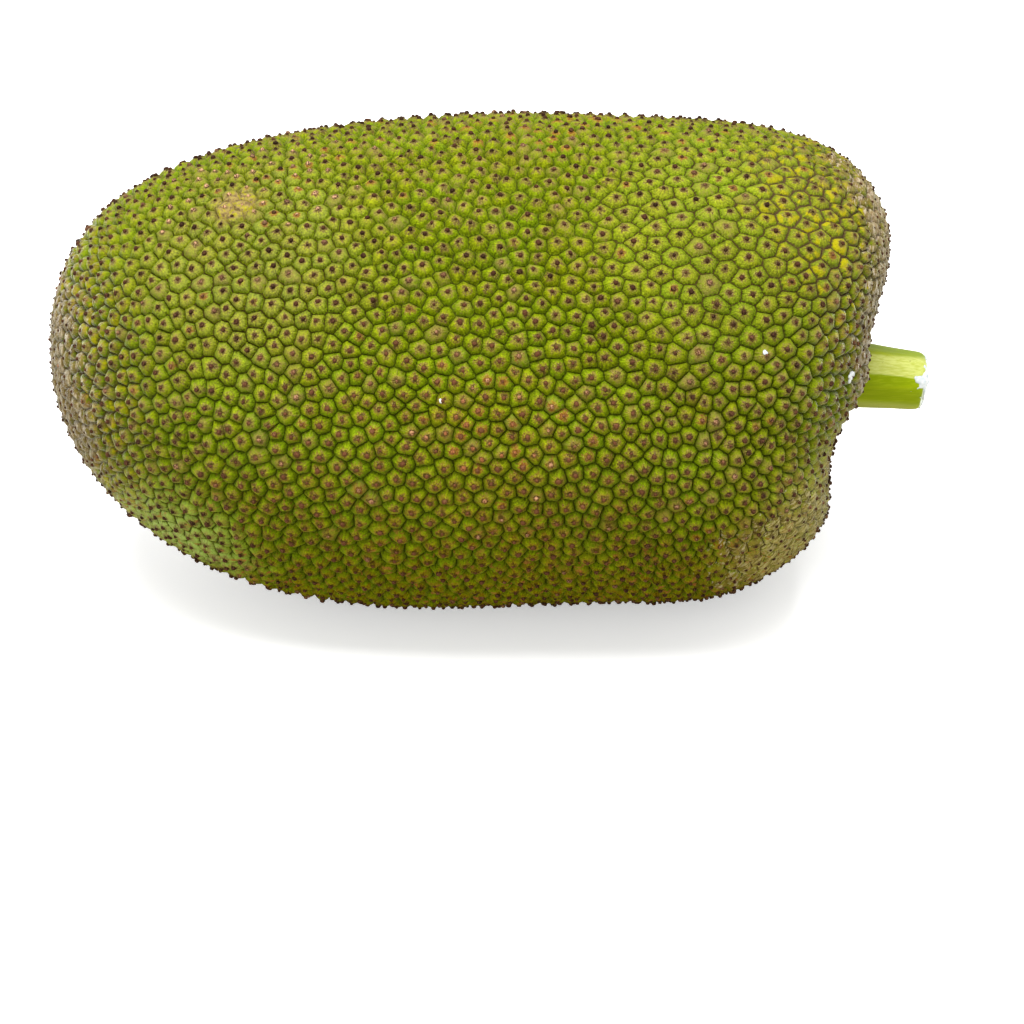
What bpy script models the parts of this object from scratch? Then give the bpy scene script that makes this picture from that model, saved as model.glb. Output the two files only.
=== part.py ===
"""Whole jackfruit with its cut stalk, lying on its belly.

Metres, +Z up, +X towards the stalk, origin under the middle of the bounding box.
"""
import math
import random

import bmesh
import bpy
import numpy as np
from mathutils import Matrix, Vector

# ---------------------------------------------------------------- driving dimensions
BODY_RADIUS = 0.1185  # over the cone tips at the fullest section
BLOSSOM_LENGTH = 0.2590  # from the fullest section to the blossom end
SHOULDER_LENGTH = 0.1262  # from the fullest section to the stalk end
BLOSSOM_POWERS = (3.3, 2.18)  # along and across: rounded, a little blunt
SHOULDER_POWERS = (3.7, 3.5)  # along and across: full shoulders, flat end
BELLY_SAG = 0.0035  # the middle line dips here so the belly lies level
BLOSSOM_LIFT = 0.0070  # and rises at the blossom end
SHOULDER_DROP = 0.0042  # it runs down a little towards the stalk end
BELLY_BULGE = 0.0040  # the underside hangs lowest below the centre of weight
SHOULDER_LEAN = 0.16  # the stalk end leans over at its upper side
UPPER_LOBE = 0.0092  # the upper shoulder stands out beyond the lean
LOWER_LOBE = 0.0070  # the lower shoulder stands out too, less
WAIST_DEPTH = 0.0042  # a dent between the stalk and the lower shoulder
HOLLOW_DEPTH = 0.0130  # hollow round the stalk
HOLLOW_RADIUS = 0.0400
CHEEK_RISE = 0.0058  # one side of the hollow stands out beside the stalk
CHEEK_AT = (-0.0450, 0.0145)
CHEEK_RADIUS = 0.0175
LUMP_HEIGHT = 0.0012  # slow swellings of the whole body
REST_CUT = 0.0014  # how much the belly is flattened where it lies

CONE_COUNT = 1880  # larger than life: the real rind has over twice as many
CONE_HEIGHT = 0.0054
CONE_SCATTER = 0.34  # of the pitch, before the cones settle
SETTLE_ROUNDS = 5
SEED = 11

STALK_RADIUS = 0.0157  # at the rind
STALK_END_RADIUS = 0.0139
STALK_SIDES = 18
STALK_PROUD = 0.0325  # from the rim of the hollow to the cut end
STALK_FROM = Vector((0.0, 0.0, -0.0108))  # off the middle line at the fullest section
STALK_DROOP = math.radians(7.0)
STALK_CROWN = 0.0034  # the cut end is domed
STALK_SEAT = 0.0110  # how deep it sits in the fruit
GAP = 0.0003

GOLDEN_ANGLE = math.pi * (3.0 - math.sqrt(5.0))
UP_SIDE = np.array((0.0, 0.5, 0.866))  # side on which the shoulder stands out


def clear_scene():
    for obj in list(bpy.data.objects):
        bpy.data.objects.remove(obj, do_unlink=True)
    for group in list(bpy.data.collections):
        bpy.data.collections.remove(group)


def smooth_step(value):
    value = np.clip(value, 0.0, 1.0)
    return value * value * (3.0 - 2.0 * value)


# ---------------------------------------------------------------- the body form
def on_body(points):
    """Slide points along their own rays on to the plain round body."""
    x = points[:, 0]
    radius = np.hypot(points[:, 1], points[:, 2])
    stalk_side = x > 0.0
    length = np.where(stalk_side, SHOULDER_LENGTH, BLOSSOM_LENGTH)
    along = np.where(stalk_side, SHOULDER_POWERS[0], BLOSSOM_POWERS[0])
    across = np.where(stalk_side, SHOULDER_POWERS[1], BLOSSOM_POWERS[1])
    part_x = np.abs(x) / length
    part_r = radius / BODY_RADIUS
    scale = 1.0 / np.maximum(np.hypot(part_x, part_r), 1e-9)
    for _ in range(12):
        term_x = (scale * part_x) ** along
        term_r = (scale * part_r) ** across
        slope = (along * term_x + across * term_r) / scale
        scale = scale - (term_x + term_r - 1.0) / slope
    return points * scale[:, None]


def shaped(points):
    """Bend the plain round body into the fruit's own form."""
    x, y, z = points.T
    back = np.clip(-x / BLOSSOM_LENGTH, 0.0, 1.0)
    front = smooth_step(x / SHOULDER_LENGTH)
    upward = points @ UP_SIDE
    radius = np.hypot(y, z)
    high = upward / BODY_RADIUS
    belly = np.clip(-z / BODY_RADIUS, 0.0, 1.0) ** 2
    off_stalk = np.hypot(y - STALK_FROM.y, z - STALK_FROM.z)

    swell = np.sin(21.0 * x + 1.1) * np.sin(27.0 * y + 14.0 * z + 0.4)
    swell = swell + 0.7 * np.sin(33.0 * z - 19.0 * x + 2.0)
    swell = 1.0 + LUMP_HEIGHT / BODY_RADIUS * swell * smooth_step(radius / 0.05)

    lobe = UPPER_LOBE * np.exp(-(((high - 0.50) / 0.40) ** 2))
    lobe = lobe + LOWER_LOBE * np.exp(-(((high + 0.66) / 0.24) ** 2))
    lobe = lobe - WAIST_DEPTH * np.exp(-(((high + 0.40) / 0.18) ** 2))
    hollow = HOLLOW_DEPTH * np.exp(-((off_stalk / HOLLOW_RADIUS) ** 4) * 1.2)
    off_cheek = np.hypot(y - CHEEK_AT[0], z - CHEEK_AT[1])
    cheek = CHEEK_RISE * np.exp(-((off_cheek / CHEEK_RADIUS) ** 2))
    new_x = x + front * (SHOULDER_LEAN * upward + lobe - hollow + cheek)
    drop = BELLY_SAG * np.sin(math.pi * back / 1.05) ** 2
    drop = drop + SHOULDER_DROP * smooth_step((x + 0.06) / 0.18)
    drop = drop + BELLY_BULGE * np.exp(-(((x + 0.045) / 0.07) ** 2)) * belly
    new_z = z * swell - drop + BLOSSOM_LIFT * back**6
    return np.stack((new_x, y * swell, new_z), axis=1)


def spread_points(count, rng):
    """A spiral over the round body, the same area to every point."""
    turn = np.linspace(0.0, math.pi, 6001)
    cosine = np.cos(turn)
    sine = np.clip(np.sin(turn), 0.0, 1.0)
    blossom = cosine > 0.0
    power_x = np.where(blossom, BLOSSOM_POWERS[0], SHOULDER_POWERS[0])
    power_r = np.where(blossom, BLOSSOM_POWERS[1], SHOULDER_POWERS[1])
    length = np.where(blossom, -BLOSSOM_LENGTH, SHOULDER_LENGTH)
    x = length * np.abs(cosine) ** (2.0 / power_x)
    r = BODY_RADIUS * sine ** (2.0 / power_r)
    step = np.hypot(np.diff(x), np.diff(r))
    area = np.concatenate(([0.0], np.cumsum(step * (r[1:] + r[:-1]) * math.pi)))
    travel = np.concatenate(([0.0], np.cumsum(step)))
    pitch = math.sqrt(area[-1] / count)

    order = np.arange(count)
    where = np.interp((order + 0.5) / count * area[-1], area, travel)
    where = where + rng.uniform(-1.0, 1.0, count) * pitch * CONE_SCATTER
    where = np.clip(where, pitch * 0.3, travel[-1] - pitch * 0.3)
    px = np.interp(where, travel, x)
    pr = np.interp(where, travel, r)
    angle = order * GOLDEN_ANGLE
    angle = angle + rng.uniform(-1.0, 1.0, count) * pitch * CONE_SCATTER / pr
    return np.stack((px, pr * np.cos(angle), pr * np.sin(angle)), axis=1)


def coordinates(bm):
    return np.array([v.co[:] for v in bm.verts])


def place(bm, points):
    for vert, point in zip(bm.verts, points):
        vert.co = point


def net_of_points(points):
    """Close the points into a net of triangles by their hull on a ball."""
    ball = points / (BLOSSOM_LENGTH, BODY_RADIUS, BODY_RADIUS)
    ball[:, 0] = np.where(
        points[:, 0] > 0.0, points[:, 0] / SHOULDER_LENGTH, points[:, 0] / BLOSSOM_LENGTH
    )
    ball = ball / np.linalg.norm(ball, axis=1)[:, None]
    bm = bmesh.new()
    for point in ball:
        bm.verts.new(point)
    bm.verts.ensure_lookup_table()
    key = bm.verts.layers.int.new("source")
    for number, vert in enumerate(bm.verts):
        vert[key] = number
    found = bmesh.ops.convex_hull(bm, input=bm.verts)
    inside = [g for g in found["geom_interior"] if isinstance(g, bmesh.types.BMVert)]
    inside += [v for v in bm.verts if not v.link_faces and v not in inside]
    bmesh.ops.delete(bm, geom=list(set(inside)), context="VERTS")
    place(bm, on_body(points[[v[key] for v in bm.verts]]))
    bmesh.ops.recalc_face_normals(bm, faces=bm.faces)
    return bm


def settle(bm, rounds):
    """Even out the net: swap crossing edges, then slide points to their cell's middle."""
    for _ in range(rounds):
        bmesh.ops.beautify_fill(bm, faces=bm.faces, edges=bm.edges, method="ANGLE")
        points = coordinates(bm)
        bm.verts.index_update()
        corners = np.array([[v.index for v in f.verts] for f in bm.faces])
        a, b, c = (points[corners[:, i]] for i in range(3))
        area = 0.5 * np.linalg.norm(np.cross(b - a, c - a), axis=1)
        middle = (a + b + c) / 3.0 * area[:, None]
        total = np.zeros(len(points))
        centre = np.zeros_like(points)
        for i in range(3):
            np.add.at(total, corners[:, i], area)
            np.add.at(centre, corners[:, i], middle)
        place(bm, on_body(0.35 * points + 0.65 * centre / total[:, None]))
    bmesh.ops.beautify_fill(bm, faces=bm.faces, edges=bm.edges, method="ANGLE")


def raise_cones(bm):
    """Every net point becomes a cone tip, every triangle a groove corner."""
    tips = set(bm.verts)
    tip_edges = list(bm.edges)
    bmesh.ops.poke(bm, faces=bm.faces)
    bmesh.ops.rotate_edges(bm, edges=tip_edges, use_ccw=False)
    bm.verts.index_update()
    is_groove = np.array([v not in tips for v in bm.verts])
    points = shaped(on_body(coordinates(bm)))
    low = points[:, 2].min() + REST_CUT
    points[:, 2] -= low
    place(bm, points)
    bm.normal_update()
    normals = np.array([v.normal[:] for v in bm.verts])
    off_stalk = np.hypot(points[:, 1] - STALK_FROM.y, points[:, 2] + low - STALK_FROM.z)
    calm = smooth_step((off_stalk - STALK_RADIUS) / 0.02)
    calm = np.where(points[:, 0] > 0.06, calm, 1.0)
    depth = CONE_HEIGHT * calm * smooth_step(points[:, 2] / 0.004)
    points = points - normals * (depth * is_groove)[:, None]
    points[:, 2] = np.maximum(points[:, 2], 0.0)
    place(bm, points)
    bm.normal_update()
    return low


def stalk_frame(low, rim_x):
    """Where the stalk's cut end is, and how the stalk points."""
    turn = Matrix.Rotation(math.radians(90.0) + STALK_DROOP, 4, "Y")
    foot = Vector((rim_x, STALK_FROM.y, STALK_FROM.z - low))
    return Matrix.Translation(foot) @ turn


def stalk_mesh(name, grow, reach):
    """A slightly tapered stem along +Z; reach is how far it runs below the rim."""
    length = STALK_PROUD + reach
    bm = bmesh.new()
    slope = (STALK_RADIUS - STALK_END_RADIUS) / (STALK_PROUD + STALK_SEAT + HOLLOW_DEPTH)
    bmesh.ops.create_cone(
        bm,
        cap_ends=True,
        segments=STALK_SIDES,
        radius1=STALK_END_RADIUS + slope * length + grow,
        radius2=STALK_END_RADIUS + grow,
        depth=length,
        matrix=Matrix.Translation((0.0, 0.0, STALK_PROUD - length / 2.0)),
    )
    mesh = bpy.data.meshes.new(name)
    bm.to_mesh(mesh)
    bm.free()
    return mesh


def dome_cut_end(mesh):
    """Raise the cut end in two gentle rings."""
    bm = bmesh.new()
    bm.from_mesh(mesh)
    top = max(bm.faces, key=lambda f: f.calc_center_median().z)
    for share, rise in ((0.18, 0.5), (0.45, 0.35), (0.5, 0.15)):
        width = max(v.co.x for v in top.verts) * share
        bmesh.ops.inset_individual(bm, faces=[top], thickness=width, depth=0.0)
        for vert in top.verts:
            vert.co.z += STALK_CROWN * rise
    bm.to_mesh(mesh)
    bm.free()


def material(name, colour, roughness):
    mat = bpy.data.materials.new(name)
    mat.use_nodes = True
    shader = mat.node_tree.nodes["Principled BSDF"]
    shader.inputs["Base Color"].default_value = (*colour, 1.0)
    shader.inputs["Roughness"].default_value = roughness
    shader.inputs["Metallic"].default_value = 0.0
    mat.diffuse_color = (*colour, 1.0)
    return mat


def new_object(name, mesh, group):
    obj = bpy.data.objects.new(name, mesh)
    group.objects.link(obj)
    return obj


def build():
    clear_scene()
    scene = bpy.context.scene
    parts = bpy.data.collections.new("jackfruit")
    cutters = bpy.data.collections.new("cutters")
    scene.collection.children.link(parts)
    scene.collection.children.link(cutters)

    rng = np.random.default_rng(SEED)
    net = net_of_points(spread_points(CONE_COUNT, rng))
    settle(net, SETTLE_ROUNDS)
    low = raise_cones(net)
    mesh = bpy.data.meshes.new("fruit")
    net.to_mesh(mesh)
    net.free()
    fruit = new_object("fruit", mesh, parts)
    fruit.data.materials.append(material("rind", (0.33, 0.38, 0.08), 0.7))

    rim_x = SHOULDER_LENGTH
    at_rim = stalk_frame(low, rim_x)
    stem = stalk_mesh("stalk", 0.0, HOLLOW_DEPTH + STALK_SEAT)
    dome_cut_end(stem)
    stem.transform(at_rim)
    stalk = new_object("stalk", stem, parts)
    stalk.data.materials.append(material("green_stem", (0.50, 0.60, 0.14), 0.5))

    hole = stalk_mesh("stalk_seat", GAP, HOLLOW_DEPTH + STALK_SEAT + GAP)
    hole.transform(at_rim)
    cutter = new_object("stalk_seat", hole, cutters)
    cutter.display_type = "WIRE"
    cutter.hide_render = True
    cut = fruit.modifiers.new("stalk seat", "BOOLEAN")
    cut.operation = "DIFFERENCE"
    cut.solver = "EXACT"
    cut.object = cutter

    # Origin under the middle of the whole, on the ground.
    points = [v.co for obj in (fruit, stalk) for v in obj.data.vertices]
    mid_x = (min(p.x for p in points) + max(p.x for p in points)) / 2.0
    mid_y = (min(p.y for p in points) + max(p.y for p in points)) / 2.0
    shift = Matrix.Translation((-mid_x, -mid_y, 0.0))
    for obj in (fruit, stalk, cutter):
        obj.data.transform(shift)
    bpy.context.view_layer.update()


build()
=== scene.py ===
"""Looks of the jackfruit: a rind of small cones, their dark tips, the cut stalk and its sap."""

import math

import bmesh
import bpy
import numpy as np
from mathutils import Euler, Matrix, Vector, kdtree


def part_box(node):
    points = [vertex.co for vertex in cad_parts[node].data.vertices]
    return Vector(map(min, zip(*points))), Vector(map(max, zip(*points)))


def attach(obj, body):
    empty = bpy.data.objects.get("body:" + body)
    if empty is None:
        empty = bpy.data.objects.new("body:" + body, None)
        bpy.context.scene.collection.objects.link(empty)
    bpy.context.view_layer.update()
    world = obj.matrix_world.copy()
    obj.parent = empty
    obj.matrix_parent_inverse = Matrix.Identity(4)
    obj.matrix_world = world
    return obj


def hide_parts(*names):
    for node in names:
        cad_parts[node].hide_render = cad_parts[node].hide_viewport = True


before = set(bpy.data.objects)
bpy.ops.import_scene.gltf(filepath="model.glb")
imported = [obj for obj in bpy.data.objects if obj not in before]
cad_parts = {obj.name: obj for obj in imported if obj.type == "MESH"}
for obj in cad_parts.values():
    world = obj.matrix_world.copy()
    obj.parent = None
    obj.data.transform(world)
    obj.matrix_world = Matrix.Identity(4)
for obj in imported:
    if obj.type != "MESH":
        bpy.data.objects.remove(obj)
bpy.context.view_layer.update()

# ---------------------------------------------------------------- the fruit's form, metres
BODY_RADIUS = 0.1185
BLOSSOM_LENGTH = 0.2590
SHOULDER_LENGTH = 0.1262
BLOSSOM_POWERS = (3.3, 2.18)
SHOULDER_POWERS = (3.7, 3.5)
BELLY_SAG = 0.0035
BLOSSOM_LIFT = 0.0070
SHOULDER_DROP = 0.0042
BELLY_BULGE = 0.0040
SHOULDER_LEAN = 0.16
UPPER_LOBE = 0.0110
LOWER_LOBE = 0.0070
WAIST_DEPTH = 0.0042
HOLLOW_DEPTH = 0.0130
HOLLOW_RADIUS = 0.0400
CHEEK_RISE = 0.0058
CHEEK_AT = (-0.0450, 0.0145)
CHEEK_RADIUS = 0.0175
LUMP_HEIGHT = 0.0012
STALK_OFF_MIDDLE = -0.0108
UP_SIDE = np.array((0.0, 0.5, 0.866))
SKIN_INSET = 0.0005  # the tips stop this far inside the solid's own reach

# ---------------------------------------------------------------- the rind's cells
SEED = 7
CANDIDATES = 60000
CELL_SPACING = 0.00612  # least distance between two tips
SETTLE_ROUNDS = 3
GROOVE_DEPTH = 0.0042
TIP_HEIGHT = 0.00092
TIP_RADIUS = 0.00110
RING_INWARD = (0.14, 0.46, 0.82)  # how far each ring of a cell is from its groove to its tip
RING_HEIGHT = (0.43, 0.82, 1.0)
RING_RISE = (0.30, 0.66, 1.0)
CORNER_MOVE = 0.62  # share of the way that a cell's corners go to their packed places
UNEVENNESS = 0.00022
TIP_LEAN = 0.00045
RIND_CLEARANCE = 0.0006  # least height over the floor
TIP_CLEARANCE = 0.0003

STALK_FOOT = Vector((0.1746, 0.0001, 0.1108))
STALK_DROOP = math.radians(7.0)
HIGHLIGHT_SIDE = (0.103, 0.530, 0.842)  # the side of the stalk that carries the painted highlight band

# Places on the rind that the form, the cells and the paint share
UPPER_SHOULDER = (0.105, -0.045, 0.220)
LOW_SHOULDER = (0.156, -0.084, 0.066)
LOW_BLOSSOM = (-0.165, -0.080, 0.054)
BLOSSOM_END = (-0.225, -0.020, 0.120)
RUBBED_SPOT = (-0.117, -0.028, 0.219)
NUDGE = 0.0004  # step along the rind for finding its directions
ATLAS_FILL = 0.46  # half of a bake tile, less its margin

rng = np.random.default_rng(SEED)


# ---------------------------------------------------------------- small helpers
def smooth_step(value):
    value = np.clip(value, 0.0, 1.0)
    return value * value * (3.0 - 2.0 * value)


def only(obj):
    """Make obj the one selected, active object."""
    if bpy.context.mode != "OBJECT":
        bpy.ops.object.mode_set(mode="OBJECT")
    bpy.ops.object.select_all(action="DESELECT")
    bpy.context.view_layer.objects.active = obj
    obj.select_set(True)


def edit(obj, kinds="VERT"):
    only(obj)
    bpy.ops.object.mode_set(mode="EDIT")
    bpy.ops.mesh.select_mode(type=kinds)
    bpy.ops.mesh.select_all(action="SELECT")


def leave_edit():
    bpy.ops.object.mode_set(mode="OBJECT")


def places(mesh):
    values = np.empty(len(mesh.vertices) * 3)
    mesh.vertices.foreach_get("co", values)
    return values.reshape(-1, 3)


def put(mesh, points):
    mesh.vertices.foreach_set("co", np.ascontiguousarray(points, dtype=np.float32).ravel())
    mesh.update()


def face_corners(mesh):
    """Each face corner's vertex, and each face's first corner and corner count."""
    verts = np.empty(len(mesh.loops), dtype=np.int32)
    mesh.loops.foreach_get("vertex_index", verts)
    starts = np.empty(len(mesh.polygons), dtype=np.int32)
    mesh.polygons.foreach_get("loop_start", starts)
    totals = np.empty(len(mesh.polygons), dtype=np.int32)
    mesh.polygons.foreach_get("loop_total", totals)
    return verts, starts, totals


def note(mesh, name, values, domain="FACE"):
    """A named number on each face or vertex, for the materials to read."""
    attribute = mesh.attributes.new(name, "FLOAT", domain)
    attribute.data.foreach_set("value", values.astype(np.float32))


# ---------------------------------------------------------------- the body's form
def on_body(points):
    """Slide points along their own rays on to the plain round body."""
    x = points[:, 0]
    radius = np.hypot(points[:, 1], points[:, 2])
    stalk_side = x > 0.0
    length = np.where(stalk_side, SHOULDER_LENGTH, BLOSSOM_LENGTH)
    along = np.where(stalk_side, SHOULDER_POWERS[0], BLOSSOM_POWERS[0])
    across = np.where(stalk_side, SHOULDER_POWERS[1], BLOSSOM_POWERS[1])
    part_x = np.abs(x) / length
    part_r = radius / BODY_RADIUS
    scale = 1.0 / np.maximum(np.hypot(part_x, part_r), 1e-9)
    for _ in range(12):
        term_x = (scale * part_x) ** along
        term_r = (scale * part_r) ** across
        slope = (along * term_x + across * term_r) / scale
        scale = scale - (term_x + term_r - 1.0) / slope
    return points * scale[:, None]


def shaped(points):
    """Bend the plain round body into the fruit's own form."""
    x, y, z = points.T
    back = np.clip(-x / BLOSSOM_LENGTH, 0.0, 1.0)
    front = smooth_step(x / SHOULDER_LENGTH)
    upward = points @ UP_SIDE
    radius = np.hypot(y, z)
    high = upward / BODY_RADIUS
    belly = np.clip(-z / BODY_RADIUS, 0.0, 1.0) ** 2
    off_stalk = np.hypot(y, z - STALK_OFF_MIDDLE)

    swell = np.sin(21.0 * x + 1.1) * np.sin(27.0 * y + 14.0 * z + 0.4)
    swell = swell + 0.7 * np.sin(33.0 * z - 19.0 * x + 2.0)
    swell = 1.0 + LUMP_HEIGHT / BODY_RADIUS * swell * smooth_step(radius / 0.05)

    lobe = UPPER_LOBE * np.exp(-(((high - 0.50) / 0.40) ** 2))
    lobe = lobe + LOWER_LOBE * np.exp(-(((high + 0.66) / 0.24) ** 2))
    lobe = lobe - WAIST_DEPTH * np.exp(-(((high + 0.40) / 0.18) ** 2))
    hollow = HOLLOW_DEPTH * np.exp(-((off_stalk / HOLLOW_RADIUS) ** 4) * 1.2)
    off_cheek = np.hypot(y - CHEEK_AT[0], z - CHEEK_AT[1])
    cheek = CHEEK_RISE * np.exp(-((off_cheek / CHEEK_RADIUS) ** 2))
    new_x = x + front * (SHOULDER_LEAN * upward + lobe - hollow + cheek)
    drop = BELLY_SAG * np.sin(math.pi * back / 1.05) ** 2
    drop = drop + SHOULDER_DROP * smooth_step((x + 0.06) / 0.18)
    drop = drop + BELLY_BULGE * np.exp(-(((x + 0.045) / 0.07) ** 2)) * belly
    new_z = z * swell - drop + BLOSSOM_LIFT * back**6
    return np.stack((new_x, y * swell, new_z), axis=1)


def directions(on_round):
    """Where points of the plain body come to lie, two ways along the rind there and the way out."""
    side_a = np.cross(on_round, (0.3, 1.0, 0.2))
    side_a /= np.linalg.norm(side_a, axis=1)[:, None]
    side_b = np.cross(on_round, side_a)
    side_b /= np.linalg.norm(side_b, axis=1)[:, None]
    here = in_place(on_round)
    run_a = in_place(on_body(on_round + side_a * NUDGE)) - here
    run_b = in_place(on_body(on_round + side_b * NUDGE)) - here
    run_a /= np.linalg.norm(run_a, axis=1)[:, None]
    outward = np.cross(run_a, run_b)
    outward /= np.linalg.norm(outward, axis=1)[:, None]
    outward *= np.sign(np.sum(outward * (here - here.mean(axis=0)), axis=1))[:, None]
    return here, run_a, np.cross(outward, run_a), outward


def near(points, centre, inner, outer):
    """1 within inner of the centre, fading to 0 at outer."""
    away = np.linalg.norm(points - np.array(centre), axis=1)
    return 1.0 - smooth_step((away - inner) / (outer - inner))


# ---------------------------------------------------------------- where the fruit lies
# The form above has its own zero. This shift puts it where the solid lies.
trial = np.linspace(-1.0, 1.0, 241)
ring = np.linspace(0.0, 2.0 * math.pi, 240, endpoint=False)
grid_u, grid_v = np.meshgrid(np.arccos(-trial), ring)
trial_points = np.stack(
    (
        -np.cos(grid_u).ravel() * BLOSSOM_LENGTH,
        (np.sin(grid_u) * np.cos(grid_v)).ravel() * BODY_RADIUS,
        (np.sin(grid_u) * np.sin(grid_v)).ravel() * BODY_RADIUS,
    ),
    axis=1,
)
trial_points = shaped(on_body(trial_points + 1e-9))
fruit_low, fruit_high = (np.array(corner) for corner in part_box("fruit"))
SHIFT = np.array(
    (
        fruit_low[0] - trial_points[:, 0].min(),
        (fruit_low[1] + fruit_high[1] - trial_points[:, 1].min() - trial_points[:, 1].max()) / 2,
        fruit_high[2] - trial_points[:, 2].max(),
    )
)


def in_place(points):
    return shaped(points) + SHIFT


# ---------------------------------------------------------------- the net of tips
def scattered_tips():
    """Tips over the body with a least distance between them, wider on the upper shoulder."""
    turn = np.linspace(0.0, math.pi, 6001)
    cosine = np.cos(turn)
    sine = np.clip(np.sin(turn), 0.0, 1.0)
    blossom = cosine > 0.0
    power_x = np.where(blossom, BLOSSOM_POWERS[0], SHOULDER_POWERS[0])
    power_r = np.where(blossom, BLOSSOM_POWERS[1], SHOULDER_POWERS[1])
    length = np.where(blossom, -BLOSSOM_LENGTH, SHOULDER_LENGTH)
    x = length * np.abs(cosine) ** (2.0 / power_x)
    r = BODY_RADIUS * sine ** (2.0 / power_r)
    step = np.hypot(np.diff(x), np.diff(r))
    area = np.concatenate(([0.0], np.cumsum(step * (r[1:] + r[:-1]) * math.pi)))
    at = rng.uniform(0.0, area[-1], CANDIDATES)
    px = np.interp(at, area, x)
    pr = np.interp(at, area, r)
    angle = rng.uniform(0.0, 2.0 * math.pi, CANDIDATES)
    points = np.stack((px, pr * np.cos(angle), pr * np.sin(angle)), axis=1)

    there = in_place(points)
    room = np.full(CANDIDATES, CELL_SPACING)
    room = room * (1.0 + 0.05 * near(there, (0.105, -0.055, 0.215), 0.045, 0.085))
    room = room * (1.0 - 0.10 * near(there, (-0.205, -0.010, 0.120), 0.050, 0.090))
    room = room * (1.0 - 0.12 * near(there, (0.170, 0.0, 0.110), 0.060, 0.110))
    room = room * rng.uniform(0.96, 1.05, CANDIDATES)
    tree = kdtree.KDTree(CANDIDATES)
    for number, point in enumerate(points):
        tree.insert(point, number)
    tree.balance()
    taken = np.zeros(CANDIDATES, dtype=bool)
    kept = []
    for number in range(CANDIDATES):
        if taken[number]:
            continue
        kept.append(number)
        for _, other, _ in tree.find_range(points[number], room[number]):
            taken[other] = True
    return points[kept]


def closed_net(points):
    """One net of triangles through all the tips, by their hull on a ball."""
    half_sizes = np.where(points[:, :1] > 0.0, SHOULDER_LENGTH, BLOSSOM_LENGTH)
    half_sizes = np.hstack((half_sizes, np.full((len(points), 2), BODY_RADIUS)))
    ball = points / half_sizes
    ball = ball / np.linalg.norm(ball, axis=1)[:, None]
    bpy.ops.object.select_all(action="DESELECT")
    bpy.ops.mesh.primitive_circle_add(vertices=len(points), radius=1.0)
    net = bpy.context.object
    net.name = "rind"
    put(net.data, ball)
    edit(net)
    bpy.ops.mesh.delete(type="EDGE_FACE")
    bpy.ops.mesh.select_all(action="SELECT")
    bpy.ops.mesh.convex_hull(use_existing_faces=False, join_triangles=False)
    bpy.ops.mesh.normals_make_consistent(inside=False)
    leave_edit()
    ball = places(net.data)
    half_x = np.where(ball[:, 0] > 0.0, SHOULDER_LENGTH, BLOSSOM_LENGTH)
    half_round = np.full_like(half_x, BODY_RADIUS)
    put(net.data, on_body(ball * np.stack((half_x, half_round, half_round), 1)))
    return net


def round_centres(a, b, c):
    """The middle of the circle through each triangle's corners, kept near the triangle."""
    middle = (a + b + c) / 3.0
    ab = b - a
    ac = c - a
    normal = np.cross(ab, ac)
    size = np.sum(normal * normal, axis=1)[:, None]
    to_centre = np.cross(normal, ab) * np.sum(ac * ac, axis=1)[:, None]
    to_centre += np.cross(ac, normal) * np.sum(ab * ab, axis=1)[:, None]
    centre = a + to_centre / (2.0 * size)
    away = centre - middle
    far = np.linalg.norm(away, axis=1) / (0.6 * np.linalg.norm(ab, axis=1))
    return middle + away / np.maximum(far, 1.0)[:, None]


def settle(net):
    """Turn crossing edges the short way and slide each tip to the middle of its own cell."""
    for turn in range(SETTLE_ROUNDS + 1):
        edit(net)
        bpy.ops.mesh.beautify_fill()
        leave_edit()
        mesh = net.data
        points = places(mesh)
        corners = face_corners(mesh)[0].reshape(-1, 3)
        if turn == SETTLE_ROUNDS:
            break
        total = np.zeros(len(points))
        centre = np.zeros_like(points)
        first, second, third = (points[corners[:, i]] for i in range(3))
        middle = round_centres(first, second, third)
        facing = np.cross(second - first, third - first)
        facing /= np.linalg.norm(facing, axis=1)[:, None]
        for i in range(3):
            here = points[corners[:, i]]
            for halfway, sign in ((1, 1.0), (2, -1.0)):
                side = (here + points[corners[:, (i + halfway) % 3]]) / 2.0
                area = sign * np.sum(np.cross(side - here, middle - here) * facing, axis=1)
                np.add.at(total, corners[:, i], area)
                np.add.at(centre, corners[:, i], area[:, None] * (here + side + middle) / 3.0)
        total = np.maximum(total, 1e-9)
        put(mesh, on_body(0.25 * points + 0.75 * centre / total[:, None]))


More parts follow.
